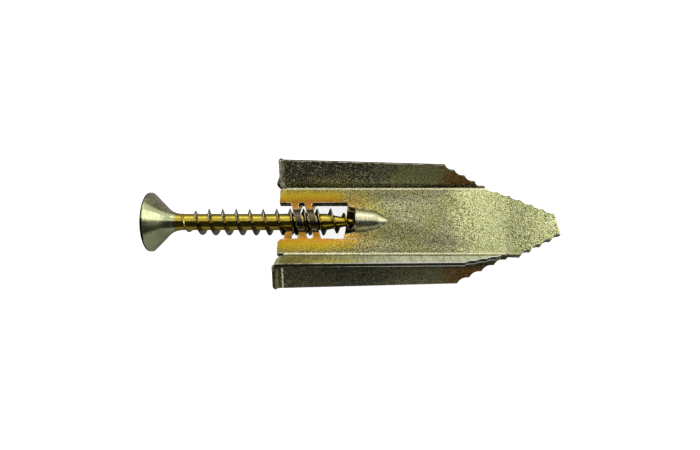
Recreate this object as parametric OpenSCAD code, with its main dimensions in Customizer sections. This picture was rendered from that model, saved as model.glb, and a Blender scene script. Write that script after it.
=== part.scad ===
// Self-drilling drywall anchor: one sheet of steel, folded double at its toothed
// tip, with four fins, and the countersunk screw that its straps hold by the thread.
// +X runs along the screw towards the tip, +Z is square to the flat web.
// The origin is on the screw's axis, in the plane of the web's rear ends.

/* [Sheet] */
// Thickness of the sheet
sheet_t = 0.55; // [0.45:0.05:0.65]
// Gap between the two layers of the folded sheet
layer_gap = 0.1; // [0.06:0.02:0.2]
// Radius inside each fold
fold_r = 0.35; // [0.25:0.05:0.5]

/* [Web] */
// Length from the rear ends to the tip
anchor_len = 41.55; // [40:0.1:44]
// Width of the web between the folds
web_w = 10.7; // [10.2:0.1:12]
// Width of the tip's end
tip_w = 3.4; // [2.6:0.1:4]
// How much shorter the tip is at its upper corner
tip_slant = 0.6; // [0:0.1:1]
// Where the web's upper edge starts to slope to the tip
upper_slope_x = 30.8; // [29:0.1:32]
// Where the web's lower edge starts to slope to the tip
lower_slope_x = 34.8; // [32.5:0.1:35.5]
// Where the tip starts to bend back
nose_bend_x = 32.6; // [31:0.1:34]
// Angle that the tip is bent back by
nose_angle = 9; // [4:1:12]
// Radius of that bend
nose_r = 14; // [10:1:20]

/* [Fins] */
// Width of the front leaf's fins at their rear
front_fin_w = 4.42; // [4:0.02:5]
// Width of the back leaf's fins at their rear
back_fin_w = 4.6; // [4:0.02:5]
// How much a fin narrows towards its slope
fin_taper = 0.75; // [0.3:0.05:1]
// Angle that the front leaf's fins are folded by
front_fold = 53; // [45:1:58]
// Angle that the back leaf's fins are folded by
back_fold = 42; // [38:1:50]
// Where the upper fins start to slope
upper_fin_x = 24.4; // [22:0.1:25]
// Where the upper fins end
upper_fin_end = 30.7; // [29:0.1:30.8]
// Where the lower fins start to slope
lower_fin_x = 26; // [23:0.1:27]
// Where the lower fins end
lower_fin_end = 32.8; // [31:0.1:33.6]
// Where the front leaf's fins bend out into their lips
front_lip_x = 0.8; // [0.6:0.05:1.4]
// Where the back leaf's fins bend out into their lips
back_lip_x = 0.2; // [0.1:0.05:1.4]
// Angle of the lip at a fin's rear end
lip_angle = 68; // [50:1:80]
// Length of the lip's straight part
lip_len = 0.45; // [0.3:0.05:0.7]
// Radius of a lip's outer corner
lip_corner_r = 0.7; // [0.4:0.1:1]
// Notch between a lip and the web
lip_notch = 0.85; // [0.7:0.05:1.2]

/* [Teeth] */
// Spacing of the teeth along a slope
tooth_pitch = 1.7; // [1.5:0.05:2]
// Radius of the hollow between two teeth
tooth_r = 1.4; // [1.2:0.05:2]
// Width of the crest left between two hollows
tooth_land = 0.16; // [0.1:0.02:0.3]

/* [Window] */
// Width of the window between the two legs of the web
window_w = 5.7; // [5.2:0.1:6]
// Where the window ends in the front leaf
front_window_x = 11.2; // [10.9:0.1:11.6]
// Where the window ends in the back leaf
back_window_x = 9.8; // [9.4:0.1:10.4]
// How far the window's upper corner is cut back in the front leaf
window_cut = 0.9; // [0.6:0.1:1.1]
// How far the window's end leans in the back leaf
window_lean = 0.6; // [0:0.1:0.8]
// Radius of the lower leg's corner
leg_corner_r = 0.8; // [0.4:0.1:1.2]

/* [Channel for the screw's point] */
// Outer radius of the channel where the front leaf's window ends
channel_r = 2.09; // [2:0.01:2.2]
// How much the channel flares from there to its mouth
channel_flare = 0.45; // [0.2:0.05:0.5]
// Outer radius where the channel's nose starts
channel_nose_r = 1.6; // [1.4:0.05:1.7]
// Where the nose of the channel starts
channel_nose_x = 14.2; // [13.8:0.1:14.6]
// Length of the channel's nose
channel_nose_len = 2.2; // [1.8:0.1:2.4]

/* [Screw] */
// Length of the screw over all
screw_len = 32; // [31:0.1:32.4]
// Distance from the web's rear ends back to the head's face
head_out = 18.85; // [18.4:0.05:19.6]
// Diameter of the head
head_d = 8.7; // [8.2:0.1:9]
// Height of the head's rim
rim_h = 0.35; // [0.2:0.05:0.5]
// Radius of the neck under the head
neck_r = 3; // [2.5:0.1:3.2]
// Diameter of the core of the thread
core_d = 2.44; // [2.3:0.02:2.5]
// Diameter over the thread
thread_d = 4; // [3.8:0.05:4.1]
// Pitch of the thread
pitch = 1.98; // [1.9:0.01:2.1]
// Width of the thread at its foot
thread_foot_w = 0.7; // [0.5:0.05:0.8]
// Width of the thread's crest
thread_crest_w = 0.1; // [0.06:0.02:0.2]
// Length of the screw's point
point_len = 6.3; // [5.6:0.1:7]
// Width of a wing of the cross recess
recess_wing_w = 1.15; // [0.9:0.05:1.3]
// Span of the cross recess
recess_d = 4.6; // [4:0.1:5]
// Depth of the cross recess
recess_depth = 2.5; // [2:0.1:2.8]

/* [Straps] */
// Width of a strap
strap_w = 1.06; // [0.8:0.02:1.1]
// Clearance between a strap and the core of the thread
strap_clear = 0.08; // [0.04:0.02:0.14]
// Radius where a strap bends down to its leg
strap_foot_r = 0.35; // [0.2:0.05:0.5]
// Radius of the corners between a strap and its leg
strap_root_r = 0.36; // [0.2:0.02:0.4]

/* [Hidden] */
$fn = 48;
eps = 0.01;

// Levels of the front layer; the back layer mirrors them
layer_z = layer_gap / 2;
layer_top = layer_z + sheet_t;
far = 20;
nose_steps = 6;
tip_steps = 12;

// Slopes of the web's outline
web_half = web_w / 2;
tip_half = tip_w / 2;
window_half = window_w / 2;

// Outer radius of a fold, and how far a lip reaches behind its bend
fold_out = fold_r + sheet_t;
lip_reach = lip_len * cos(lip_angle) + fold_out * sin(lip_angle);

// What differs between the front leaf, side = 1, and the back leaf, side = -1
function fold_of(side) = side > 0 ? front_fold : back_fold;
function fin_w_of(side) = side > 0 ? front_fin_w : back_fin_w;
function lip_x_of(side) = side > 0 ? front_lip_x : back_lip_x;

// Screw
core_r = core_d / 2;
thread_r = thread_d / 2;
head_x = -head_out;
point_x = head_x + screw_len;
cone_x = point_x - point_len;
cone_angle = 45;
neck_drop = neck_r * (1 - cos(cone_angle));
neck_len = neck_r * sin(cone_angle);
flank_len = head_d / 2 - core_r - neck_drop;
neck_x = head_x + rim_h + flank_len;
shank_x = neck_x + neck_len;

// Thread: angle 0 points to +Y, and angles turn towards +Z
crest_x0 = 5.6;
crest_angle0 = 24;
thread_start_x = shank_x - 0.4;
runout_len = 3.6;
steps_per_turn = 20;

// Straps: each lies in the groove, half a pitch from the crest
strap_r = core_r + strap_clear;
strap_top = strap_r + sheet_t;
strap_lean = 0.22 * pitch / (strap_r + sheet_t / 2);
groove_x0 = crest_x0 - pitch / 2;
front_strap_x = [for (turn = [-1, 0]) groove_x0 + pitch * (turn + (90 - crest_angle0) / 360)];
back_strap_x = [for (turn = [-1, 0]) groove_x0 + pitch * (turn - (90 + crest_angle0) / 360)];

// Radius over the thread at x: it grows out of the neck and tapers to the point
function thread_r_at(x) =
    let (grow = min(1, max(0, (x - thread_start_x) / runout_len)),
         fade = min(1, max(0, (point_x + 0.3 - x) / (point_len - 0.6))))
    min(core_r + (thread_r - core_r) * grow, thread_r * fade);

// Radius of the core at x
function core_r_at(x) = core_r * min(1, max(0.02, (point_x - x) / point_len));

// Hollows between teeth, cut along the line from a to b
module teeth_cut(a, b) {
    run = b - a;
    length = norm(run);
    count = floor(length / tooth_pitch);
    step = length / count;
    out = sqrt(pow(tooth_r, 2) - pow((step - tooth_land) / 2, 2));
    translate(a) rotate(atan2(run[1], run[0]))
        for (i = [0:count - 1]) translate([(i + 0.5) * step, out]) circle(tooth_r);
}

// Outline of the web in plan, rear ends at x = 0
module web_outline() {
    difference() {
        polygon([
            [0, -web_half], [lower_slope_x, -web_half], [anchor_len, -tip_half],
            [anchor_len - tip_slant, tip_half], [upper_slope_x, web_half], [0, web_half]
        ]);
        teeth_cut([upper_slope_x, web_half], [anchor_len - tip_slant, tip_half]);
        mirror([0, 1]) teeth_cut([lower_slope_x, web_half], [anchor_len, tip_half]);
    }
}

// Window in plan, open at the rear, with the lower leg's rounded corner
module window_outline(side) {
    polygon(side > 0
        ? [
            [-1, -window_half], [front_window_x, -window_half], [front_window_x, channel_r - 0.4],
            [front_window_x - window_cut, channel_r - 0.05],
            [front_window_x - window_cut - 0.3, window_half], [-1, window_half]
        ]
        : [
            [-1, -window_half], [back_window_x - window_lean / 2, -window_half],
            [back_window_x + window_lean / 2, window_half], [-1, window_half]
        ]);
    difference() {
        translate([-1, -window_half - leg_corner_r]) square([1 + leg_corner_r, leg_corner_r + eps]);
        translate([leg_corner_r - eps, -window_half - leg_corner_r + eps]) circle(leg_corner_r);
    }
}

// The window as a prism through one leaf, on the front side
module window_prism(side) {
    linear_extrude(far) window_outline(side);
}

// Keeps a shape on the front side, or mirrors it to the back with side = -1
module on_side(side) {
    if (side > 0) children();
    else mirror([0, 0, 1]) children();
}

// Point of the side view at the offset n from the middle plane, where the tip
// has been bent back by the angle a
function bent(a, n) = [nose_bend_x + (nose_r + n) * sin(a), (nose_r + n) * cos(a) - nose_r];

// Path of one face of the sheet at the offset n, round the tip and back at -n
function face_path(n) =
    let (rise = bent(nose_angle, 0),
         straight = (anchor_len - rise[0]) / cos(nose_angle) - layer_top,
         middle = rise + straight * [cos(nose_angle), -sin(nose_angle)])
    concat(
        [[0, n]],
        [for (a = [0:nose_angle / nose_steps:nose_angle + eps]) bent(a, n)],
        [for (a = [90:-180 / tip_steps:-90 - eps]) middle + n * [cos(a - nose_angle), sin(a - nose_angle)]],
        [for (a = [nose_angle:-nose_angle / nose_steps:-eps]) bent(a, -n)],
        [[0, -n]]
    );

// Both layers from the side: flat, bent back, and folded into one at the tip
module side_profile() {
    outer = face_path(layer_top);
    inner = face_path(layer_z);
    polygon(concat(outer, [for (i = [len(inner) - 1:-1:0]) inner[i]]));
}

// Bullet that the screw's point runs into, with a flared mouth
module channel(shrink) {
    end_r = channel_nose_r / 3;
    end_x = channel_nose_x + channel_nose_len - 0.3;
    rotate([90, 0, 90]) rotate_extrude()
        polygon([
            [0, back_window_x - 0.5],
            [channel_r + channel_flare - shrink, back_window_x - 0.5],
            [channel_r - shrink, front_window_x],
            [channel_nose_r - shrink, channel_nose_x],
            [max(0.1, end_r - shrink), end_x - shrink * 0.8],
            [0, end_x + 0.3 - shrink]
        ]);
}

// Everything on the front side, or on the back side with side = -1
module half_space(side) {
    translate([-far, -far, side > 0 ? layer_z : -layer_z - far]) cube([4 * far, 2 * far, far]);
}

// Section of a strap: half a ring over the screw, with feet on the two legs
module strap_section() {
    foot_y = window_half + 0.2;
    reach = strap_top + strap_foot_r;
    bend_y = sqrt(pow(reach, 2) - pow(layer_top + strap_foot_r, 2));
    difference() {
        union() {
            intersection() {
                circle(strap_top);
                translate([-far, layer_z]) square([2 * far, far]);
            }
            difference() {
                translate([-foot_y, layer_z]) square([2 * foot_y, layer_top + strap_foot_r - layer_z]);
                for (y = [-1, 1]) {
                    translate([y * bend_y, layer_top + strap_foot_r]) circle(strap_foot_r);
                    translate([y > 0 ? bend_y : -bend_y - far, layer_top]) square([far, far]);
                }
            }
        }
        circle(strap_r);
    }
}

// A strap in plan: it leans with the thread, and widens in round corners at its legs
module strap_outline(lean) {
    foot_y = window_half + 0.2;
    half = strap_w / 2;
    root_y = window_half - strap_root_r;
    difference() {
        union() {
            polygon([for (p = [[-half, -1], [half, -1], [half, 1], [-half, 1]])
                [p[0] + p[1] * foot_y * lean, p[1] * foot_y]]);
            for (y = [-1, 1])
                translate([y * root_y * lean - half - strap_root_r, y > 0 ? root_y : -foot_y])
                    square([2 * (half + strap_root_r), foot_y - root_y]);
        }
        for (y = [-1, 1], x = [-1, 1])
            translate([y * root_y * lean + x * (half + strap_root_r), y * root_y])
                circle(strap_root_r);
    }
}

// A strap across the window
module strap(x, side) {
    on_side(side) translate([x, 0, 0]) intersection() {
        rotate([90, 0, 90]) linear_extrude(4 * strap_w, center = true) strap_section();
        linear_extrude(far) strap_outline(-side * strap_lean);
    }
}

// Outline of a fin in its own plane, from the fold outwards
module fin_outline(side, slope_x, end_x) {
    bend_x = lip_x_of(side);
    fin_w = fin_w_of(side);
    outer = fin_w - fin_taper;
    corner = [bend_x - lip_reach + lip_corner_r - 0.05, fin_w - lip_corner_r];
    difference() {
        polygon([
            [-3, lip_notch], [bend_x - 0.25, lip_notch], [bend_x + 0.15, 0], [end_x, 0],
            [slope_x, outer], [0, fin_w], [-3, fin_w]
        ]);
        teeth_cut([slope_x, outer], [end_x, 0]);
        // The lip's rounded corner
        difference() {
            translate(corner - [far, 0]) square(far);
            translate(corner) circle(lip_corner_r);
        }
    }
}

// Section of a fin along its length: straight, then the lip at its rear
module fin_section(side, end_x) {
    bend_x = lip_x_of(side);
    translate([bend_x, -fold_out]) square([end_x - bend_x, sheet_t]);
    translate([bend_x, -fold_out - fold_r]) {
        intersection() {
            difference() {
                circle(fold_out);
                circle(fold_r);
            }
            rotate(90) square(far);
            rotate(lip_angle) square(far);
        }
        rotate(lip_angle) translate([-lip_len, fold_r]) square([lip_len, sheet_t]);
    }
}

// How far inside the web's edge a fold starts
function setback(fold) = fold_r * tan(fold / 2);

// Room cut from a layer of the web for a fin's fold, on the upper side of the front leaf
module fold_room(side, end_x) {
    translate([-1, web_half - setback(fold_of(side)), 0]) cube([end_x + 1, far, far]);
}

// A fin with its fold, on the upper side of the front leaf
module fin(side, slope_x, end_x) {
    fold = fold_of(side);
    start_x = lip_x_of(side) + 0.15;
    translate([0, web_half - setback(fold), layer_top + fold_r]) {
        // The fold
        translate([start_x, 0, 0]) rotate([90, 0, 90]) linear_extrude(end_x - start_x) intersection() {
            difference() {
                circle(fold_out);
                circle(fold_r);
            }
            rotate(-90) square(far);
            rotate(fold - 180) square(far);
        }
        // The fin
        rotate([fold, 0, 0]) intersection() {
            translate([0, far, 0]) rotate([90, 0, 0]) linear_extrude(far) fin_section(side, end_x);
            translate([0, -setback(fold), -far / 2]) linear_extrude(far) fin_outline(side, slope_x, end_x);
        }
    }
}

// Both layers of the web, with the window and the room for the folds cut out
module web() {
    difference() {
        intersection() {
            translate([0, far, 0]) rotate([90, 0, 0]) linear_extrude(2 * far) side_profile();
            translate([0, 0, -far / 2]) linear_extrude(far) web_outline();
        }
        channel(sheet_t);
        for (side = [-1, 1]) on_side(side) {
            window_prism(side);
            fold_room(side, upper_fin_end);
            mirror([0, 1, 0]) fold_room(side, lower_fin_end);
        }
    }
}

// The wall of the channel, pressed out of one leaf
module channel_wall(side) {
    difference() {
        intersection() {
            difference() {
                channel(0);
                channel(sheet_t);
            }
            half_space(side);
        }
        on_side(side) window_prism(side);
    }
}

// The anchor, one folded sheet
module anchor() {
    color([0.72, 0.66, 0.34]) {
        web();
        for (side = [-1, 1]) {
            channel_wall(side);
            on_side(side) {
                fin(side, upper_fin_x, upper_fin_end);
                mirror([0, 1, 0]) fin(side, lower_fin_x, lower_fin_end);
            }
        }
        for (x = front_strap_x) strap(x, 1);
        for (x = back_strap_x) strap(x, -1);
    }
}

// Head, neck, core and point, turned as one
module screw_body() {
    rotate([90, 0, 90]) rotate_extrude()
        polygon([
            [0, head_x], [head_d / 2, head_x], [head_d / 2, head_x + rim_h],
            for (a = [cone_angle:-9:0])
                [core_r + neck_r * (1 - cos(a)), shank_x - neck_r * sin(a)],
            [core_r, cone_x], [0.02, point_x], [0, point_x]
        ]);
}

// Cross recess for the driver
module recess() {
    translate([head_x, 0, 0]) intersection() {
        rotate([0, 90, 0]) translate([0, 0, -eps])
            cylinder(h = recess_depth, r1 = recess_d / 2, r2 = recess_wing_w / 2);
        for (turn = [0, 90]) rotate([turn + 45, 0, 0])
            translate([-1, -recess_d / 2, -recess_wing_w / 2]) cube([far, recess_d, recess_wing_w]);
    }
}

// Rings of four points along the helix: foot, crest, crest, foot
module thread() {
    turns = (point_x - 0.25 - thread_start_x) / pitch;
    count = floor(turns * steps_per_turn);
    rings = [for (i = [0:count])
        let (x = thread_start_x + pitch * i / steps_per_turn,
             angle = crest_angle0 + 360 * (x - crest_x0) / pitch,
             foot = max(0.02, core_r_at(x) - 0.12),
             crest = max(foot + 0.05, thread_r_at(x)),
             spread = thread_foot_w / 2,
             flat = thread_crest_w / 2)
        [for (p = [[-spread, foot], [-flat, crest], [flat, crest], [spread, foot]])
            [x + p[0], p[1] * cos(angle), p[1] * sin(angle)]]];
    points = [for (ring = rings) each ring];
    sides = [for (i = [0:count - 1], k = [0:3])
        let (a = 4 * i + k, b = 4 * i + (k + 1) % 4) each [[a, b, b + 4], [a, b + 4, a + 4]]];
    ends = [[3, 2, 1, 0], [for (k = [0:3]) 4 * count + k]];
    polyhedron(points, concat(sides, ends), convexity = 20);
}

// The screw
module screw() {
    color([0.70, 0.62, 0.30]) {
        difference() {
            screw_body();
            recess();
        }
        thread();
    }
}

anchor();
screw();
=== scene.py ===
"""Finishes, floor, light and camera for a self-drilling drywall anchor and its screw."""

import math

import bmesh
import bpy
from bpy.props import FloatProperty, FloatVectorProperty, PointerProperty
from mathutils import Matrix, Vector
from mathutils.bvhtree import BVHTree


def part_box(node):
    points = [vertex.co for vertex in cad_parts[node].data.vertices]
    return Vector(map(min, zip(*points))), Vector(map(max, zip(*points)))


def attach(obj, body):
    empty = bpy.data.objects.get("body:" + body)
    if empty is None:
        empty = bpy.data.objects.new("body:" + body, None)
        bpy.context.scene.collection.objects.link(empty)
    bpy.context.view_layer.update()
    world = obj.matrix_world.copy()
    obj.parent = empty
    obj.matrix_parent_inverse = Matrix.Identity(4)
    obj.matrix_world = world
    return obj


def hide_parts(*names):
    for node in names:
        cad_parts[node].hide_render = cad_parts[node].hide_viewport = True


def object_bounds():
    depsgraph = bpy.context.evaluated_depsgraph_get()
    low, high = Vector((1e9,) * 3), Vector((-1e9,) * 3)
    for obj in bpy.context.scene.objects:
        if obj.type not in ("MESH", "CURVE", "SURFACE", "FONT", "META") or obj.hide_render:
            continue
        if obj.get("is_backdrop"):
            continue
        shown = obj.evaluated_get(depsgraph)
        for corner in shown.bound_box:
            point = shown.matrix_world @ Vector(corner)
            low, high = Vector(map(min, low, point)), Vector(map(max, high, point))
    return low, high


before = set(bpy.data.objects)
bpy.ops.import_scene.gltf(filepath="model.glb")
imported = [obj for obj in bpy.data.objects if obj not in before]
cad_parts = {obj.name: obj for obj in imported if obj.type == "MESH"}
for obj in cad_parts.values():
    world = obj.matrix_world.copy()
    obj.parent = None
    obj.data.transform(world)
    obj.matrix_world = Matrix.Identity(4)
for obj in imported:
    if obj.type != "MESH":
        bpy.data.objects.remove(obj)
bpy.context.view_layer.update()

bl_info = {
    "name": "Drywall Anchor",
    "version": (1, 0, 0),
    "blender": (4, 5, 0),
    "location": "3D View > Sidebar > Drywall Anchor",
    "description": "Dresses a self-drilling drywall anchor and its screw in yellow zinc",
    "category": "Object",
}

MM = 0.001

# Meshes
MERGE_DISTANCE = 0.0005 * MM
SLIVER = 0.001 * MM
FLAT_ANGLE = math.radians(0.5)
CORNER_ANGLE = math.radians(40)
CORNER_SEGMENTS = 3
CUT_DEPTH = 0.75 * MM  # more than the sheet's thickness
PROBE_DEPTH = 0.005 * MM
SHEET_SMOOTH = math.radians(25)
SCREW_SMOOTH = math.radians(35)
CUT_SLOT, CORNER_SLOT = 1, 2

# X runs from the rear ends of the sheet's web to its tip, and Y and Z start at the screw's axis.
# A pair holds the edge of a zone: a place is outside at the first value and inside at the second.
WINDOW_HALF = 2.86 * MM
WINDOW_END = 11.25 * MM
WINDOW_X = (WINDOW_END + 0.2 * MM, WINDOW_END - 0.2 * MM)
ARCH_Y = (WINDOW_HALF, WINDOW_HALF - 0.5 * MM)
ARCH_Z = (0.62 * MM, 0.8 * MM)
CHANNEL_SHADE_Y = (-0.1 * MM, -0.8 * MM)
# The folds get a light painted highlight
FOLD_HIGHLIGHT_Y = ((4.95 * MM, 5.15 * MM), (5.4 * MM, 5.3 * MM))
FOLD_HIGHLIGHT_Z = (0.55 * MM, 0.6 * MM)
FIN_Y = (4.6 * MM, 5.3 * MM)
FIN_Z = (0.9 * MM, 1.3 * MM)
LOWER_Y = (0.0, -1 * MM)
FRONT_Z = (0.0, 1 * MM)
BACK_Z = (0.5 * MM, -0.5 * MM)
LIP_X = (0.95 * MM, 0.7 * MM)
# A painted highlight along a crease at the back leaf's lips
CREASE_HIGHLIGHT_X = ((0.5 * MM, 0.6 * MM), (0.85 * MM, 0.75 * MM))
# A painted white highlight along the rim of the front leaf's lower fin
RIM_HIGHLIGHT_X = (0.0, 20 * MM)
RIM_HIGHLIGHT_Y = (-5.2 * MM, -5.4 * MM)
RIM_HIGHLIGHT_Z = (0.7 * MM, 0.9 * MM)
# Round the window the cut edges get painted shade
SHADED_CUT_X = (WINDOW_END + 1.2 * MM, WINDOW_END + 0.8 * MM)
SHADED_CUT_Y = (3.3 * MM, 3.1 * MM)

# Where the sheet's colours turn along it, and how far they reach from the window
# Painted light: the web turns lighter towards the tip
TIP_LIGHT_X = (24 * MM, 30 * MM)
# Painted shade: the web is darker in the nose's bend
NOSE_SHADE_X = ((32.5 * MM, 34 * MM), (39 * MM, 35 * MM))
SMOOTH_X = ((26 * MM, 30 * MM), (34 * MM, 32 * MM))
FADED_X = (7 * MM, 12 * MM)
MOSSY_X = (13 * MM, 19 * MM)
RUSTY_X = (22 * MM, 27 * MM)
REAR_X = (9 * MM, 2 * MM)
# Painted reflection: the front leaf's lower fin turns whitish towards the front
MIST_REFLECTION_X = (2 * MM, 15 * MM)
BRASSY_X = ((2 * MM, 7 * MM), (14 * MM, 9 * MM))
BRASSY_Z = (2.0 * MM, 2.9 * MM)
GOLD_REACH = (2.9 * MM, 1.0 * MM)
AMBER_REACH = (1.3 * MM, 0.0)

# How uneven the zones are, as shares of a wave, and how slowly colour fades past the window's end
UNEVEN_ALONG = 1.5
UNEVEN_REACH = 0.35
PAST_WINDOW = 0.6

# Thresholds of the noise patterns, and moves that keep two patterns apart
PATCH_EDGE = (0.42, 0.62)
PATCH_MOVE = 9 * MM
GRAIN_EDGE = (0.38, 0.62)
FLECK_EDGE = (0.67, 0.72)
HAIRLINE_EDGE = (0.022, 0.0)
HAIRLINE_GAPS = (0.5, 0.54)
GAP_MOVE = 5 * MM
HIGHLIGHT_PATCH_EDGE = (0.4, 0.6)
MOTTLE_EDGE = (0.5, 0.6)
STREAK_STRETCH = (1, 0.08, 0.08)

# Grain: its strength, the share of coarse grain, its middle and its darkest level
GRAIN_GAIN = 3.0
COARSE_GRAIN = 0.5
GRAIN_MIDDLE = 0.75
GRAIN_DARKEST = 0.1

# How calm the grain is in a zone, and how much of the grain a calm zone and the bend lose
GREEN_FIN_CALM = 0.7
BACK_FIN_CALM = 0.6
GOLD_CALM = 1.15
CALM_LOSS = 0.75
BEND_LOSS = 0.5

# Roughness that is added to the zinc's own
MARK_ROUGHNESS = 0.55
LOWER_FRONT_ROUGHNESS = 0.25
GREEN_FIN_ROUGHNESS = 0.12

# Shares of a zone's colour, some of them painted light and shade, and how much of the metal's gloss the
# painted highlights at the crease and along the rim lose
FADED_SHARE = 0.75
NOSE_SHADE_SHARE = 0.35
BRASSY_SHARE = 0.8
REAR_SHARE = 0.7
LIP_HIGHLIGHT_SHARE = 0.55
FOLD_HIGHLIGHT_SHARE = 0.8
GLINT_SHARE = 0.55
CREASE_HIGHLIGHT_MATT = 0.8
RIM_HIGHLIGHT_MATT = 0.85

# Light and dark ends of a noise, and roughness of the cut edges and the corners
STREAK_SHADE = (0.2, 1.8)
CUT_SHADE = (0.2, 1.8)
CUT_ROUGHNESS = (0.25, 0.55)
CORNER_ROUGHNESS = 0.3

# The screw, whose head is at the rear; its flank is where Y is most of the distance to the axis
HEAD_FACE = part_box("screw")[0][0]
HEAD_X = (-15.0 * MM, -15.2 * MM)
HEAD_RIM_X = (HEAD_FACE + 0.3 * MM, HEAD_FACE + 0.15 * MM)
CREST_RADIUS = (1.25 * MM, 1.5 * MM)
FLANK = (0.5, 0.8)
# The head's top side gets extra dark mottling as painted shade
SHADED_TOP_TURN = ((0.05, 0.35), (0.8, 0.6))
HEAD_SHADE_MOTTLE = 0.55
THREAD_MOTTLE = 0.2
CLOUD_SHADE = (0.5, 1.5)
CLOUD_ROUGHNESS = 0.06

# Stage: a card is given by its distance and how far it bends up, a softbox by its direction and size
FLOOR_GLOW = 0.8
WORLD_FILL = 0.7
MAT_SIDE = 200 * MM
MAT_RISE = 0.1 * MM
CARD_HALF = 150 * MM
CARD_RISE = 0.5 * MM
CARD_STEPS = 12
FRONT_CARD = (-60 * MM, math.radians(80))
BACK_CARD = (70 * MM, math.radians(22))
SOFTBOX_DISTANCE = 300 * MM
KEY_BOX = (math.radians(90), math.radians(50), (300 * MM, 90 * MM))
SIDE_BOX = (math.radians(14), math.radians(13), (140 * MM, 130 * MM))
SENSOR_WIDTH = 36

# Numbers of the Mix node's sockets that hold colours
MIX_COLOURS = (6, 7)
MIX_RESULT = 2


def colour(name, description, default):
    """A colour setting."""
    return FloatVectorProperty(
        name=name, description=description, subtype="COLOR", size=3, min=0, max=1, default=default
    )


def length(name, description, default):
    """A length setting, in metres."""
    return FloatProperty(
        name=name, description=description, subtype="DISTANCE", unit="LENGTH",
        min=0, precision=5, default=default,
    )


def factor(name, description, default):
    """A setting from 0 to 1."""
    return FloatProperty(
        name=name, description=description, subtype="FACTOR", min=0, max=1, default=default
    )


def brightness(name, description, default):
    """A setting for how bright a lamp's face is, where 1 is white."""
    return FloatProperty(name=name, description=description, min=0, default=default)


class SheetSettings(bpy.types.PropertyGroup):
    """The zinc on the folded sheet."""

    edge_radius: length("Edge radius", "Radius of the sheet's cut edges", 0.08 * MM)
    cloud: length("Cloud size", "Size of the waves in the zones' edges", 3 * MM)
    patch: length("Patch size", "Size of the greyer patches of the web", 5 * MM)
    streak: length("Streak size", "Size of the streaks on the front leaf's lower fin", 0.22 * MM)
    fleck_size: length("Fleck size", "Size of the flecks in the zinc", 0.21 * MM)
    # Size of the patches of painted highlight on the corners
    highlight_patch: length("Rub size", "Size of the rubbed places on the corners", 0.8 * MM)
    cut_grain: length("Cut grain", "Size of the grain in the cut edges", 0.2 * MM)
    grain: length("Grain", "Size of the grain in the zinc", 0.115 * MM)
    grain_depth: length("Grain depth", "Depth of the grain", 0.012 * MM)
    contrast: factor("Contrast", "How much the grain varies in colour", 0.95)
    roughness: factor("Roughness", "Roughness of the zinc", 0.26)
    olive: colour("Olive", "Zinc in the middle of the web and on the cut edges", (0.16, 0.16, 0.063))
    stone: colour("Stone", "Greyer patches of the web", (0.175, 0.168, 0.09))
    # Painted light: the web's lighter colour towards the tip
    tip_light: colour("Pale", "Zinc towards the tip", (0.4, 0.415, 0.195))
    gold: colour("Gold", "Zinc on the legs", (0.4, 0.275, 0.01))
    amber: colour("Amber", "Zinc next to the window", (0.34, 0.15, 0.015))
    # Painted shade on the straps and inside the back channel, within the window
    umber_shade: colour("Umber", "Zinc on the straps", (0.1, 0.08, 0.055))
    # Painted highlight on the channel's top side, the folds and the lips
    sand_highlight: colour("Sand", "Zinc on the channel, the folds and the lips", (0.7, 0.66, 0.42))
    # Also on the channel's lower side, painted darker than its top side as shade
    fin: colour("Fin", "Zinc on the fins and the channel's lower side", (0.5, 0.49, 0.32))
    moss: colour("Moss", "Zinc towards the fins' slopes", (0.8, 0.76, 0.36))
    rust: colour("Rust", "Zinc at the fins' slopes", (0.8, 0.36, 0.1))
    reed: colour("Reed", "Rear of the front leaf's lower fin", (0.36, 0.34, 0.11))
    # Painted reflection of the floor on the front of the front leaf's lower fin
    mist_reflection: colour("Mist", "Front of the front leaf's lower fin", (0.8, 0.84, 0.58))
    brass: colour("Brass", "Bright yellow on the front leaf's lower fin", (0.85, 0.78, 0.2))
    # Painted glints
    fleck_glint: colour("Fleck", "Flecks and hairlines in the zinc", (0.75, 0.74, 0.5))
    # Painted shade on the cut edges round the window
    cut: colour("Cut edge", "Steel in the window's cut edges", (0.13, 0.08, 0.055))
    # Painted highlight on the sheet's corners, in patches
    corner_highlight: colour("Worn edge", "Rubbed corners of the sheet", (0.8, 0.74, 0.58))
    # Painted white highlight along the rim of the front leaf's lower fin
    rim_highlight: colour("Bare", "Bare metal on the rim of the front leaf's lower fin", (0.85, 0.88, 0.85))


class ScrewSettings(bpy.types.PropertyGroup):
    """The zinc on the screw."""

    cloud: length("Cloud size", "Size of the lighter and darker patches", 1.5 * MM)
    mottle: length("Mottle size", "Size of the dark spots", 0.16 * MM)
    grain: length("Grain", "Size of the grain in the zinc", 0.14 * MM)
    grain_depth: length("Grain depth", "Depth of the grain", 0.008 * MM)
    roughness: factor("Roughness", "Roughness of the zinc", 0.14)
    gold: colour("Gold", "Zinc in the thread", (0.48, 0.37, 0.05))
    straw: colour("Straw", "Zinc on the head", (0.56, 0.6, 0.33))
    mauve: colour("Mauve", "Zinc on the head's flank", (0.62, 0.49, 0.38))
    crest: colour("Crest", "Zinc on the thread's crests", (0.4, 0.36, 0.27))
    rim: colour("Rim", "Edge of the head", (0.05, 0.045, 0.015))


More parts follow.
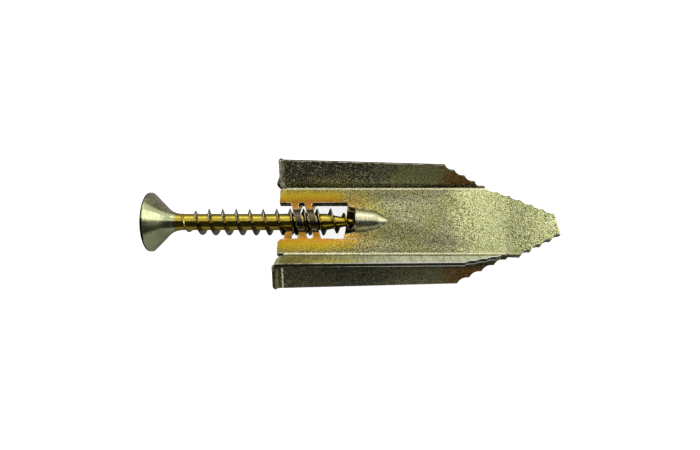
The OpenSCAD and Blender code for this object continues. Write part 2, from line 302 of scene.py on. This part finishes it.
class StageSettings(bpy.types.PropertyGroup):
    """Floor, light and camera."""

    floor_size: length("Floor size", "Side of the floor", 1.6)
    floor_colour: colour("Floor colour", "Colour of the floor", (0.9, 0.9, 0.9))
    key_light: brightness("Key light", "Brightness of the softbox behind the object", 1.2)
    side_light: brightness("Side light", "Brightness of the softbox past the tip", 1.7)
    card_colour: colour("Card colour", "Colour of the front card", (0.05, 0.05, 0.05))
    mat_colour: colour("Mat colour", "Colour of the mat and the back card", (0.42, 0.42, 0.42))
    aim: FloatVectorProperty(
        name="Aim", description="Point that the camera and the softboxes face",
        subtype="TRANSLATION", unit="LENGTH", size=3, precision=5,
        default=(10.45 * MM, -0.402 * MM, -0.179 * MM),
    )
    lens: FloatProperty(
        name="Lens", description="Focal length of the camera", subtype="DISTANCE_CAMERA",
        unit="CAMERA", min=1, default=27.41,
    )
    distance: length("Camera distance", "Distance from the camera to the object", 78.4 * MM)
    tilt: FloatProperty(
        name="Camera tilt", description="Angle of the camera from straight down",
        subtype="ANGLE", unit="ROTATION", default=math.radians(24),
    )


def rgba(tone):
    """A colour with its alpha; the output of a node stays as it is."""
    return tone if isinstance(tone, bpy.types.NodeSocket) else (*tone, 1.0)


class Nodes:
    """Adds and joins the nodes of one material or world."""

    def __init__(self, owner):
        owner.use_nodes = True
        self.tree = owner.node_tree
        self.tree.nodes.clear()

    def add(self, kind, sockets=(), **settings):
        """Adds a node, sets its attributes, and sets or joins its input sockets."""
        node = self.tree.nodes.new("ShaderNode" + kind)
        for name, value in settings.items():
            setattr(node, name, value)
        for name, value in dict(sockets).items():
            if isinstance(value, bpy.types.NodeSocket):
                self.tree.links.new(value, node.inputs[name])
            else:
                node.inputs[name].default_value = value
        return node

    def math(self, operation, first, *others):
        """Result of a maths operation, taken from the left over any number of values."""
        result = first
        for value in others or (0.0,):
            result = self.add("Math", {0: result, 1: value}, operation=operation).outputs[0]
        return result

    def product(self, *values):
        """The values multiplied."""
        return self.math("MULTIPLY", *values)

    def total(self, *values):
        """The sum of the values."""
        return self.math("ADD", *values)

    def most(self, *values):
        """The largest of the values."""
        return self.math("MAXIMUM", *values)

    def spread(self, value, low, high):
        """A value from 0 to 1, spread between low and high."""
        return self.total(self.product(value, high - low), low)

    def rest(self, value, share=1.0):
        """What a share of a value leaves of 1."""
        return self.math("SUBTRACT", 1.0, self.product(value, share))

    def hypotenuse(self, a, b):
        """Distance given by two lengths at a right angle."""
        return self.math("SQRT", self.total(self.math("POWER", a, 2.0), self.math("POWER", b, 2.0)))

    def ramp(self, value, low, high):
        """Smooth step of a value, 0 at low and 1 at high."""
        node = self.add(
            "MapRange",
            {"Value": value, "From Min": low, "From Max": high, "To Min": 0.0, "To Max": 1.0},
            interpolation_type="SMOOTHSTEP",
        )
        return node.outputs["Result"]

    def band(self, value, near, far):
        """1 between two edges of a zone and 0 outside."""
        return self.product(self.ramp(value, *near), self.ramp(value, *far))

    def mix(self, amount, a, b, share=1.0):
        """A colour that turns into another as the amount goes to 1, by no more than the share."""
        if share < 1.0:
            amount = self.product(amount, share)
        first, second = MIX_COLOURS
        node = self.add("Mix", {0: amount, first: rgba(a), second: rgba(b)}, data_type="RGBA")
        return node.outputs[MIX_RESULT]

    def scaled(self, tone, level):
        """A colour made lighter or darker by a factor."""
        return self.add("VectorMath", {0: tone, "Scale": level}, operation="SCALE").outputs[0]

    def stretched(self, vector, factors):
        """A position scaled along each axis."""
        return self.add("VectorMath", {0: vector, 1: factors}, operation="MULTIPLY").outputs[0]

    def moved(self, vector, distance):
        """A position moved along all three axes, for a second pattern of the same kind."""
        return self.add("VectorMath", {0: vector, 1: (distance,) * 3}, operation="ADD").outputs[0]

    def noise(self, vector, size, detail=2.0):
        """Noise with blobs of the given size."""
        return self.add("TexNoise", {"Vector": vector, "Scale": 1 / size, "Detail": detail}).outputs["Fac"]

    def bump(self, height, depth):
        """Normals of a surface that is rough to the given depth."""
        return self.add("Bump", {"Height": height, "Distance": depth, "Strength": 1.0}).outputs["Normal"]

    def white_rays(self):
        """1 for the rays that see the floor and the world as plain white."""
        path = self.add("LightPath").outputs
        return self.most(path["Is Camera Ray"], path["Is Glossy Ray"], path["Is Transmission Ray"])

    def metal(self, sockets):
        """Ends a material in a metal surface."""
        shader = self.add("BsdfPrincipled", {"Metallic": 1.0, **sockets})
        self.add("OutputMaterial", {"Surface": shader.outputs[0]})


def new_material(name):
    """An empty material and its nodes."""
    material = bpy.data.materials.new(name)
    return material, Nodes(material)


class Places:
    """Position on a piece, and its distance from the planes Y = 0 and Z = 0."""

    def __init__(self, nodes):
        self.position = nodes.add("TexCoord").outputs["Object"]
        self.x, self.y, self.z = nodes.add("SeparateXYZ", {0: self.position}).outputs
        self.side = nodes.math("ABSOLUTE", self.y)
        self.rise = nodes.math("ABSOLUTE", self.z)


class SheetPlaces(Places):
    """Zones of the sheet, each 1 inside and 0 outside."""

    def __init__(self, nodes, cloud_size):
        super().__init__(nodes)

        # Place along the sheet and distance from the window, both made uneven
        cloud = nodes.noise(self.position, cloud_size, detail=3.0)
        uneven = nodes.product(nodes.math("SUBTRACT", cloud, 0.5), cloud_size)
        self.along = nodes.total(self.x, nodes.product(uneven, UNEVEN_ALONG))
        beside = nodes.most(nodes.math("SUBTRACT", self.side, WINDOW_HALF), 0.0)
        beyond = nodes.most(nodes.math("SUBTRACT", self.x, WINDOW_END), 0.0)
        away = nodes.hypotenuse(beside, nodes.product(beyond, PAST_WINDOW))
        away = nodes.total(away, nodes.product(uneven, UNEVEN_REACH))

        # Gold and amber round the window, weaker towards its end
        kept = nodes.rest(nodes.ramp(self.along, *FADED_X), FADED_SHARE)
        self.gilt = nodes.product(nodes.ramp(away, *GOLD_REACH), kept)
        self.halo = nodes.product(nodes.ramp(away, *AMBER_REACH), kept)

        arches = nodes.product(nodes.ramp(self.side, *ARCH_Y), nodes.ramp(self.rise, *ARCH_Z))
        window = nodes.ramp(self.x, *WINDOW_X)
        # Within the window the arches are the straps, which get painted shade; past it they are the
        # channel
        self.straps = nodes.product(arches, window)
        self.channel = nodes.product(arches, nodes.rest(window))
        self.folds = nodes.product(nodes.band(self.side, *FOLD_HIGHLIGHT_Y), nodes.ramp(self.rise, *FOLD_HIGHLIGHT_Z))

        self.fins = nodes.product(nodes.ramp(self.rise, *FIN_Z), nodes.ramp(self.side, *FIN_Y))
        self.back_fins = nodes.product(self.fins, nodes.ramp(self.z, *BACK_Z))
        self.lower_front = nodes.product(nodes.ramp(self.y, *LOWER_Y), nodes.ramp(self.z, *FRONT_Z))
        self.mossy = nodes.ramp(self.along, *MOSSY_X)

        # Painted highlights: on the front leaf's lips, and a bright crease at the back leaf's
        front_fins = nodes.math("SUBTRACT", self.fins, self.back_fins)
        self.crease = nodes.product(self.back_fins, nodes.band(self.x, *CREASE_HIGHLIGHT_X))
        lips = nodes.product(front_fins, nodes.ramp(self.x, *LIP_X), LIP_HIGHLIGHT_SHARE)
        self.lips = nodes.total(lips, self.crease)


def web_tone(nodes, places, settings):
    """Olive web with greyer patches and gold and amber round the window, painted lighter towards the tip
    as light and darker in the nose's bend as shade.
    """
    moved = nodes.moved(places.position, PATCH_MOVE)
    patches = nodes.ramp(nodes.noise(moved, settings.patch), *PATCH_EDGE)
    tone = nodes.mix(patches, settings.olive, settings.stone)
    # Painted light: lighter towards the tip
    tone = nodes.mix(nodes.ramp(places.along, *TIP_LIGHT_X), tone, settings.tip_light)
    # Painted shade in the nose's bend
    tone = nodes.mix(nodes.band(places.along, *NOSE_SHADE_X), tone, settings.olive, NOSE_SHADE_SHARE)
    tone = nodes.mix(places.gilt, tone, settings.gold)
    return nodes.mix(places.halo, tone, settings.amber)


def lower_front_tone(nodes, places, settings):
    """Golden olive that turns to streaked whitish green, a painted reflection of the floor, with a bright
    yellow stretch between.
    """
    # Painted reflection: whitish green towards the front
    tone = nodes.mix(nodes.ramp(places.along, *MIST_REFLECTION_X), settings.reed, settings.mist_reflection)
    yellow = nodes.product(nodes.ramp(places.rise, *BRASSY_Z), nodes.band(places.along, *BRASSY_X))
    tone = nodes.mix(yellow, tone, settings.brass, BRASSY_SHARE)
    streaks = nodes.noise(nodes.stretched(places.position, STREAK_STRETCH), settings.streak)
    return nodes.scaled(tone, nodes.spread(streaks, *STREAK_SHADE))


def fin_tone(nodes, places, settings):
    """Fins that are greener towards their slopes and rusty on them, with painted highlights on the lips.
    """
    tone = nodes.mix(places.mossy, settings.fin, settings.moss)
    tone = nodes.mix(nodes.ramp(places.along, *RUSTY_X), tone, settings.rust)
    tone = nodes.mix(places.lower_front, tone, lower_front_tone(nodes, places, settings))
    back_rear = nodes.product(places.back_fins, nodes.ramp(places.along, *REAR_X))
    tone = nodes.mix(back_rear, tone, settings.moss, REAR_SHARE)
    # Painted highlight on the lips
    return nodes.mix(places.lips, tone, settings.sand_highlight)


def flecks(nodes, position, size):
    """Small flecks and broken hairlines, from 0 to 1, where bright glints are painted."""
    spots = nodes.ramp(nodes.noise(position, size, detail=0.0), *FLECK_EDGE)
    waves = nodes.noise(position, 4 * size, detail=1.0)
    middle = nodes.math("ABSOLUTE", nodes.math("SUBTRACT", waves, 0.5))
    hairlines = nodes.ramp(middle, *HAIRLINE_EDGE)
    moved = nodes.moved(position, GAP_MOVE)
    pieces = nodes.ramp(nodes.noise(moved, 3 * size, detail=1.0), *HAIRLINE_GAPS)
    return nodes.most(spots, nodes.product(hairlines, pieces))


def sheet_zinc(settings):
    """Yellow zinc on the sheet's faces."""
    material, nodes = new_material("sheet_zinc")
    places = SheetPlaces(nodes, settings.cloud)
    tone = web_tone(nodes, places, settings)
    # Painted shade on the straps, within the window
    tone = nodes.mix(places.straps, tone, settings.umber_shade)
    # Painted highlight on the channel's top side, and painted shade on its lower side
    shaded = nodes.ramp(places.y, *CHANNEL_SHADE_Y)
    tone = nodes.mix(places.channel, tone, nodes.mix(shaded, settings.sand_highlight, settings.fin))
    # Painted highlight along the folds
    tone = nodes.mix(places.folds, tone, settings.sand_highlight, FOLD_HIGHLIGHT_SHARE)
    tone = nodes.mix(places.fins, tone, fin_tone(nodes, places, settings))

    # Grain, strongest on the web, with flecks and hairlines painted as bright glints
    green_fins = nodes.product(places.mossy, GREEN_FIN_CALM)
    calm = nodes.most(
        nodes.product(places.fins, nodes.most(places.lower_front, green_fins)),
        nodes.product(places.back_fins, BACK_FIN_CALM),
        nodes.product(places.gilt, GOLD_CALM),
        places.channel,
        places.folds,
    )
    bend = nodes.band(places.along, *SMOOTH_X)
    depth = nodes.product(nodes.rest(calm, CALM_LOSS), nodes.rest(bend, BEND_LOSS))
    grain = nodes.noise(places.position, settings.grain)
    coarse = nodes.noise(places.position, 4 * settings.grain)
    level = nodes.total(nodes.ramp(grain, *GRAIN_EDGE), nodes.product(coarse, COARSE_GRAIN))
    level = nodes.math("SUBTRACT", level, GRAIN_MIDDLE)
    level = nodes.total(nodes.product(level, depth, GRAIN_GAIN * settings.contrast), 1.0)
    tone = nodes.scaled(tone, nodes.most(level, GRAIN_DARKEST))
    glint_marks = nodes.product(flecks(nodes, places.position, settings.fleck_size), depth)
    tone = nodes.mix(glint_marks, tone, settings.fleck_glint, GLINT_SHARE)

    roughness = nodes.total(
        nodes.product(nodes.most(glint_marks, places.lips), MARK_ROUGHNESS),
        nodes.product(places.fins, places.lower_front, LOWER_FRONT_ROUGHNESS),
        nodes.product(places.fins, places.mossy, GREEN_FIN_ROUGHNESS),
        settings.roughness,
    )
    nodes.metal({
        "Base Color": tone,
        # The crease's painted highlight is less metallic
        "Metallic": nodes.rest(places.crease, CREASE_HIGHLIGHT_MATT),
        "Roughness": roughness,
        "Normal": nodes.bump(grain, settings.grain_depth),
    })
    return material


def cut_steel(settings):
    """Steel in the sheet's cut edges, painted darkest round the window as shade."""
    material, nodes = new_material("cut_steel")
    places = Places(nodes)
    # Painted shade: the cut edges are darkest round the window
    window = nodes.product(nodes.ramp(places.side, *SHADED_CUT_Y), nodes.ramp(places.x, *SHADED_CUT_X))
    grain = nodes.noise(places.position, settings.cut_grain)
    tone = nodes.mix(window, settings.olive, settings.cut)
    nodes.metal({
        "Base Color": nodes.scaled(tone, nodes.spread(grain, *CUT_SHADE)),
        "Roughness": nodes.spread(grain, *CUT_ROUGHNESS),
    })
    return material


def zinc_corner_highlights(settings):
    """Zinc with a painted highlight in patches on the corners of the sheet, and a painted white highlight
    along the rim of the front leaf's lower fin.
    """
    material, nodes = new_material("zinc_corner_highlights")
    places = Places(nodes)
    # Patches of painted highlight on the corners
    highlighted = nodes.ramp(nodes.noise(places.position, settings.highlight_patch), *HIGHLIGHT_PATCH_EDGE)
    tone = nodes.mix(highlighted, settings.olive, settings.corner_highlight)
    # Painted white highlight along the rim of the front leaf's lower fin, less metallic
    rim = nodes.product(
        nodes.ramp(places.y, *RIM_HIGHLIGHT_Y), nodes.ramp(places.z, *RIM_HIGHLIGHT_Z), nodes.ramp(places.x, *RIM_HIGHLIGHT_X)
    )
    nodes.metal({
        "Base Color": nodes.mix(rim, tone, settings.rim_highlight),
        "Metallic": nodes.rest(rim, RIM_HIGHLIGHT_MATT),
        "Roughness": CORNER_ROUGHNESS,
    })
    return material


def screw_zinc(settings):
    """Yellow zinc on the screw: straw on the head, gold between the threads."""
    material, nodes = new_material("screw_zinc")
    places = Places(nodes)
    radius = nodes.hypotenuse(places.y, places.z)
    turn = nodes.math("DIVIDE", places.y, radius)
    cloud = nodes.noise(places.position, settings.cloud, detail=3.0)
    head = nodes.ramp(places.x, *HEAD_X)
    tone = nodes.mix(nodes.ramp(radius, *CREST_RADIUS), settings.gold, settings.crest)
    head_tone = nodes.mix(nodes.ramp(turn, *FLANK), settings.straw, settings.mauve)
    tone = nodes.mix(head, tone, head_tone)
    tone = nodes.mix(nodes.ramp(places.x, *HEAD_RIM_X), tone, settings.rim)
    tone = nodes.scaled(tone, nodes.spread(cloud, *CLOUD_SHADE))

    # Dark mottling in the thread, made stronger on the head's top side as painted shade
    spots = nodes.ramp(nodes.noise(places.position, settings.mottle, detail=1.0), *MOTTLE_EDGE)
    shaded_top = nodes.product(nodes.band(turn, *SHADED_TOP_TURN), head)
    dark = nodes.total(nodes.product(shaded_top, HEAD_SHADE_MOTTLE), THREAD_MOTTLE)
    grain = nodes.noise(places.position, settings.grain, detail=1.0)
    smooth, rough = settings.roughness - CLOUD_ROUGHNESS, settings.roughness + CLOUD_ROUGHNESS
    nodes.metal({
        "Base Color": nodes.scaled(tone, nodes.rest(spots, dark)),
        "Roughness": nodes.spread(cloud, smooth, rough),
        "Normal": nodes.bump(grain, settings.grain_depth),
    })
    return material


def floor_white(settings):
    """Plain white floor that keeps the object's shadow."""
    material, nodes = new_material("floor_white")
    strength = nodes.product(nodes.white_rays(), FLOOR_GLOW)
    matt = nodes.add("BsdfDiffuse", {"Color": rgba(settings.floor_colour)})
    glow = nodes.add("Emission", {"Color": (1, 1, 1, 1), "Strength": strength})
    both = nodes.add("AddShader", {0: matt.outputs[0], 1: glow.outputs[0]})
    nodes.add("OutputMaterial", {"Surface": both.outputs[0]})
    return material


def card_paint(name, tone):
    """Matt paint on a card."""
    material, nodes = new_material(name)
    shader = nodes.add("BsdfDiffuse", {"Color": rgba(tone)})
    nodes.add("OutputMaterial", {"Surface": shader.outputs[0]})
    return material


def studio_world():
    """A white room that gives a soft light from all sides."""
    world = bpy.data.worlds.new("studio")
    nodes = Nodes(world)
    fill = nodes.add("Background", {"Color": (1, 1, 1, 1), "Strength": WORLD_FILL})
    white = nodes.add("Background", {"Color": (1, 1, 1, 1), "Strength": 1.0})
    both = nodes.add("MixShader", {0: nodes.white_rays(), 1: fill.outputs[0], 2: white.outputs[0]})
    nodes.add("OutputWorld", {"Surface": both.outputs[0]})
    return world


def placed(name, data):
    """A new object in the scene, at the origin."""
    thing = bpy.data.objects.new(name, data)
    bpy.context.collection.objects.link(thing)
    return thing


def merged_copy(node, name):
    """A piece with a copy of a CAD node's mesh, and a bmesh of it with its loose triangles joined."""
    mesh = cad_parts[node].data.copy()
    mesh.name = name
    mesh.materials.clear()
    form = bmesh.new()
    form.from_mesh(mesh)
    bmesh.ops.remove_doubles(form, verts=form.verts, dist=MERGE_DISTANCE)
    return placed(name, mesh), form


def mark_cut_faces(form):
    """Gives the sheet's cut edges their slot: inwards from there the steel is deeper than the sheet."""
    tree = BVHTree.FromBMesh(form)
    for face in form.faces:
        start = face.calc_center_median() - face.normal * PROBE_DEPTH
        place, _, _, depth = tree.ray_cast(start, -face.normal)
        if place is None or depth > CUT_DEPTH:
            face.material_index = CUT_SLOT


def break_edges(form, radius):
    """Rounds the sheet's sharp edges and gives the new corner faces their slot."""
    bmesh.ops.dissolve_limit(form, angle_limit=FLAT_ANGLE, verts=form.verts[:], edges=form.edges[:])
    surface = BVHTree.FromBMesh(form)
    sharp = [edge for edge in form.edges if edge.is_manifold and edge.calc_face_angle() > CORNER_ANGLE]
    corners = bmesh.ops.bevel(
        form, geom=sharp, affect="EDGES", offset_type="OFFSET", offset=radius,
        segments=CORNER_SEGMENTS, profile=0.5, material=-1, clamp_overlap=False,
    )
    for face in corners["faces"]:
        face.material_index = CORNER_SLOT
    # A corner where several edges meet can stand out, so it goes back on the surface
    for vert in form.verts:
        place, _, _, gap = surface.find_nearest(vert.co)
        if gap > radius:
            vert.co = place
    bmesh.ops.dissolve_degenerate(form, dist=SLIVER, edges=form.edges[:])


def shade(piece, angle):
    """Smooth shading that keeps edges sharper than the angle."""
    mesh = piece.data
    if "custom_normal" in mesh.attributes:
        mesh.attributes.remove(mesh.attributes["custom_normal"])
    mesh.shade_smooth()
    mesh.set_sharp_from_angle(angle=angle)


def stage_mesh(name, form, material):
    """An object of the stage, made from a bmesh."""
    mesh = bpy.data.meshes.new(name)
    form.to_mesh(mesh)
    form.free()
    mesh.materials.append(material)
    thing = placed(name, mesh)
    thing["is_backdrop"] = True
    return thing


def plane(name, side, centre, material):
    """A level square round a centre."""
    form = bmesh.new()
    bmesh.ops.create_grid(
        form, x_segments=1, y_segments=1, size=side / 2, matrix=Matrix.Translation(centre)
    )
    return stage_mesh(name, form, material)


def curved_card(name, distance, rise, ground, material):
    """A card along the object, bent up from the ground through the angle of rise."""
    form = bmesh.new()
    ends = [form.verts.new((x, distance, ground + CARD_RISE)) for x in (-CARD_HALF, CARD_HALF)]
    edge = form.edges.new(ends)
    bmesh.ops.spin(
        form, geom=[*ends, edge], cent=(0, 0, ground), axis=(-1, 0, 0),
        angle=-math.copysign(rise, distance), steps=CARD_STEPS,
    )
    return stage_mesh(name, form, material)


def leave_to_reflections(card):
    """Hides a card from all but reflections."""
    card.visible_camera = False
    card.visible_diffuse = False
    card.visible_shadow = False


def softbox(name, aim, azimuth, elevation, size, radiance):
    """A rectangular lamp that faces the aim; azimuth 0 is +X and a quarter turn is +Y."""
    lamp = bpy.data.lights.new(name, "AREA")
    lamp.shape = "RECTANGLE"
    lamp.size, lamp.size_y = size
    lamp.energy = radiance * math.pi * lamp.size * lamp.size_y
    level = math.cos(elevation)
    out = Vector((math.cos(azimuth) * level, math.sin(azimuth) * level, math.sin(elevation)))
    holder = placed(name, lamp)
    holder.location = aim + out * SOFTBOX_DISTANCE
    holder.rotation_euler = out.to_track_quat("Z", "Y").to_euler()


def tilted_camera(settings, aim):
    """A camera that looks down at the aim, tilted towards -Y."""
    lens = bpy.data.cameras.new("camera")
    lens.lens = settings.lens
    lens.sensor_width = SENSOR_WIDTH
    lens.clip_start = 1 * MM
    camera = placed("camera", lens)
    back = Vector((0, -math.sin(settings.tilt), math.cos(settings.tilt)))
    camera.location = aim + back * settings.distance
    camera.rotation_euler = (settings.tilt, 0, 0)
    return camera


class ANCHOR_OT_sheet(bpy.types.Operator):
    """Dress the folded sheet"""

    bl_idname = "drywall_anchor.sheet"
    bl_label = "Folded Sheet"

    def execute(self, context):
        settings = context.scene.anchor_sheet
        piece, form = merged_copy("anchor", "folded_sheet")
        mark_cut_faces(form)
        break_edges(form, settings.edge_radius)
        form.to_mesh(piece.data)
        form.free()
        shade(piece, SHEET_SMOOTH)
        for material in (sheet_zinc(settings), cut_steel(settings), zinc_corner_highlights(settings)):
            piece.data.materials.append(material)
        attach(piece, "anchor")
        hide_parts("anchor")
        return {"FINISHED"}


class ANCHOR_OT_screw(bpy.types.Operator):
    """Dress the screw"""

    bl_idname = "drywall_anchor.screw"
    bl_label = "Screw"

    def execute(self, context):
        settings = context.scene.anchor_screw
        piece, form = merged_copy("screw", "countersunk_screw")
        form.to_mesh(piece.data)
        form.free()
        shade(piece, SCREW_SMOOTH)
        piece.data.materials.append(screw_zinc(settings))
        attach(piece, "screw")
        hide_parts("screw")
        return {"FINISHED"}


class ANCHOR_OT_stage(bpy.types.Operator):
    """Set the floor, the light and the camera"""

    bl_idname = "drywall_anchor.stage"
    bl_label = "Stage"

    def execute(self, context):
        settings = context.scene.anchor_stage
        aim = Vector(settings.aim)
        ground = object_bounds()[0].z
        below = Vector((aim.x, aim.y, ground))
        raised = below + Vector((0, 0, MAT_RISE))
        dark = card_paint("card_dark", settings.card_colour)
        grey = card_paint("card_grey", settings.mat_colour)

        plane("floor", settings.floor_size, below, floor_white(settings))
        leave_to_reflections(plane("dark_mat", MAT_SIDE, raised, grey))
        leave_to_reflections(curved_card("front_card", *FRONT_CARD, ground, dark))
        leave_to_reflections(curved_card("back_card", *BACK_CARD, ground, grey))

        softbox("key_softbox", aim, *KEY_BOX, settings.key_light)
        softbox("side_softbox", aim, *SIDE_BOX, settings.side_light)
        context.scene.world = studio_world()
        context.scene.camera = tilted_camera(settings, aim)
        context.scene.view_settings.view_transform = "Standard"
        return {"FINISHED"}


class VIEW3D_PT_drywall_anchor(bpy.types.Panel):
    """Settings and steps of the drywall anchor"""

    bl_idname = "VIEW3D_PT_drywall_anchor"
    bl_label = "Drywall Anchor"
    bl_space_type = "VIEW_3D"
    bl_region_type = "UI"
    bl_category = "Drywall Anchor"

    def draw(self, context):
        for group, operator in (
            ("anchor_sheet", ANCHOR_OT_sheet),
            ("anchor_screw", ANCHOR_OT_screw),
            ("anchor_stage", ANCHOR_OT_stage),
        ):
            box = self.layout.box()
            settings = getattr(context.scene, group)
            for name in settings.__annotations__:
                box.prop(settings, name)
            box.operator(operator.bl_idname)


CLASSES = (
    SheetSettings,
    ScrewSettings,
    StageSettings,
    ANCHOR_OT_sheet,
    ANCHOR_OT_screw,
    ANCHOR_OT_stage,
    VIEW3D_PT_drywall_anchor,
)


def register():
    """Registers the settings, steps and panel."""
    for cls in CLASSES:
        bpy.utils.register_class(cls)
    bpy.types.Scene.anchor_sheet = PointerProperty(type=SheetSettings)
    bpy.types.Scene.anchor_screw = PointerProperty(type=ScrewSettings)
    bpy.types.Scene.anchor_stage = PointerProperty(type=StageSettings)


def unregister():
    """Removes what register added."""
    del bpy.types.Scene.anchor_stage
    del bpy.types.Scene.anchor_screw
    del bpy.types.Scene.anchor_sheet
    for cls in reversed(CLASSES):
        bpy.utils.unregister_class(cls)


def main():
    """Builds the scene."""
    register()
    bpy.ops.drywall_anchor.sheet()
    bpy.ops.drywall_anchor.screw()
    bpy.ops.drywall_anchor.stage()


if __name__ == "__main__":
    main()
